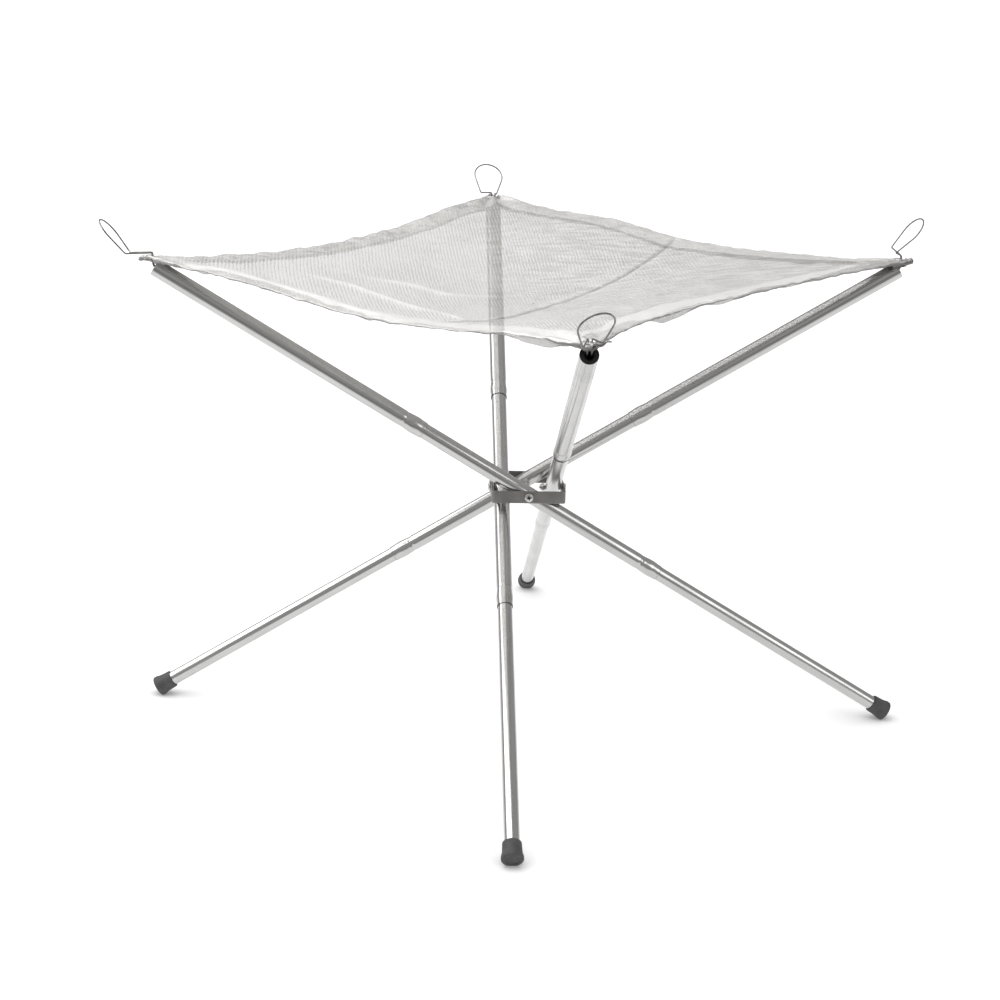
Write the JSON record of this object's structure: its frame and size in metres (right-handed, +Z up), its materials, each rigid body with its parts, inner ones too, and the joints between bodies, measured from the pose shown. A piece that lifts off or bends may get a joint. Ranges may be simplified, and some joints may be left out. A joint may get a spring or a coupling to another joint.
{
  "type": "folding mesh fire stand",
  "caption": "Folding camp-fire stand: telescopic steel poles cross in a square hub, stand on rubber feet and hold a square woven steel mesh by wire loop clips.",
  "frame": {"origin": "on the floor under the middle of the whole box; the hub is 12 mm to its +X side and 10 mm to its +Y side, because the clips swing out further at -X and -Y", "axes": "+Z up; the poles lie in vertical planes parallel to X and Y, with the poles named a to d ending upwards at -X, -Y, +X and +Y"},
  "size_m": [0.6308, 0.6369, 0.401],
  "materials": {
    "hub_steel": "matte",
    "polished_steel": "satin",
    "bright_steel": "satin",
    "woven_steel": "satin",
    "rubber": "matte",
    "black_plastic": "matte"
  },
  "bodies": {
    "hub": {"hub_ring": "hub_steel", "pivot_screw_a": "bright_steel", "pivot_screw_b": "bright_steel", "pivot_screw_c": "bright_steel", "pivot_screw_d": "bright_steel", "spacer_washer_a": "bright_steel", "spacer_washer_b": "bright_steel", "spacer_washer_c": "bright_steel", "spacer_washer_d": "bright_steel", "lock_nut_a": "bright_steel", "lock_nut_b": "bright_steel", "lock_nut_c": "bright_steel", "lock_nut_d": "bright_steel"},
    "fire_mesh": {"fire_mesh": "woven_steel", "eyelet_a": "bright_steel", "eyelet_b": "bright_steel", "eyelet_c": "bright_steel", "eyelet_d": "bright_steel"},
    "pole_a": {"middle_tube_a": "polished_steel"},
    "top_a": {"top_tube_a": "polished_steel", "end_plug_a": "black_plastic"},
    "bottom_a": {"bottom_tube_a": "polished_steel", "foot_cap_a": "rubber"},
    "clip_a": {"pull_clip_a": "bright_steel"},
    "pole_b": {"middle_tube_b": "polished_steel"},
    "top_b": {"top_tube_b": "polished_steel", "end_plug_b": "black_plastic"},
    "bottom_b": {"bottom_tube_b": "polished_steel", "foot_cap_b": "rubber"},
    "clip_b": {"pull_clip_b": "bright_steel"},
    "pole_c": {"middle_tube_c": "polished_steel"},
    "top_c": {"top_tube_c": "polished_steel", "end_plug_c": "black_plastic"},
    "bottom_c": {"bottom_tube_c": "polished_steel", "foot_cap_c": "rubber"},
    "clip_c": {"pull_clip_c": "bright_steel"},
    "pole_d": {"middle_tube_d": "polished_steel"},
    "top_d": {"top_tube_d": "polished_steel", "end_plug_d": "black_plastic"},
    "bottom_d": {"bottom_tube_d": "polished_steel", "foot_cap_d": "rubber"},
    "clip_d": {"pull_clip_d": "bright_steel"}
  },
  "joints": [
    {"name": "fold_a", "type": "hinge", "parent": "hub", "child": "pole_a", "pos_m": [0.012, -0.0102, 0.18558], "axis": [0, 1, 0], "range_deg": [0, 58.6]},
    {"name": "telescope_top_a", "type": "slide", "parent": "pole_a", "child": "top_a", "axis": [0.8536, 0, -0.521], "range_m": [0, 0.085]},
    {"name": "telescope_bottom_a", "type": "slide", "parent": "pole_a", "child": "bottom_a", "axis": [-0.8536, 0, 0.521], "range_m": [0, 0.094]},
    {"name": "clip_turn_a", "type": "hinge", "parent": "fire_mesh", "child": "clip_a", "pos_m": [-0.27479, -0.0102, 0.36064], "axis": [-0.8536, 0, 0.521], "range_deg": [-8, 8]},
    {"name": "fold_b", "type": "hinge", "parent": "hub", "child": "pole_b", "pos_m": [0.0322, 0.01, 0.18558], "axis": [-1, 0, 0], "range_deg": [0, 58.6]},
    {"name": "telescope_top_b", "type": "slide", "parent": "pole_b", "child": "top_b", "axis": [0, 0.8536, -0.521], "range_m": [0, 0.085]},
    {"name": "telescope_bottom_b", "type": "slide", "parent": "pole_b", "child": "bottom_b", "axis": [0, -0.8536, 0.521], "range_m": [0, 0.094]},
    {"name": "clip_turn_b", "type": "hinge", "parent": "fire_mesh", "child": "clip_b", "pos_m": [0.0322, -0.27679, 0.36064], "axis": [0, -0.8536, 0.521], "range_deg": [-8, 8]},
    {"name": "fold_c", "type": "hinge", "parent": "hub", "child": "pole_c", "pos_m": [0.012, 0.0302, 0.18558], "axis": [0, -1, 0], "range_deg": [0, 58.6]},
    {"name": "telescope_top_c", "type": "slide", "parent": "pole_c", "child": "top_c", "axis": [-0.8536, 0, -0.521], "range_m": [0, 0.085]},
    {"name": "telescope_bottom_c", "type": "slide", "parent": "pole_c", "child": "bottom_c", "axis": [0.8536, 0, 0.521], "range_m": [0, 0.094]},
    {"name": "clip_turn_c", "type": "hinge", "parent": "fire_mesh", "child": "clip_c", "pos_m": [0.29879, 0.0302, 0.36064], "axis": [0.8536, 0, 0.521], "range_deg": [-8, 8]},
    {"name": "fold_d", "type": "hinge", "parent": "hub", "child": "pole_d", "pos_m": [-0.0082, 0.01, 0.18558], "axis": [1, 0, 0], "range_deg": [0, 58.6]},
    {"name": "telescope_top_d", "type": "slide", "parent": "pole_d", "child": "top_d", "axis": [0, -0.8536, -0.521], "range_m": [0, 0.085]},
    {"name": "telescope_bottom_d", "type": "slide", "parent": "pole_d", "child": "bottom_d", "axis": [0, 0.8536, 0.521], "range_m": [0, 0.094]},
    {"name": "clip_turn_d", "type": "hinge", "parent": "fire_mesh", "child": "clip_d", "pos_m": [-0.0082, 0.29679, 0.36064], "axis": [0, 0.8536, 0.521], "range_deg": [-8, 8]},
    {"name": "mesh_lift", "type": "slide", "parent": "hub", "child": "fire_mesh", "axis": [0, 0, 1], "range_m": [0, 0.403]}
  ],
  "couplings": [
    {"joint": "fold_b", "follows": "fold_a", "ratio": 1},
    {"joint": "fold_c", "follows": "fold_a", "ratio": 1},
    {"joint": "fold_d", "follows": "fold_a", "ratio": 1},
    {"joint": "mesh_lift", "follows": "fold_a", "m_per_rad": 0.39365}
  ]
}
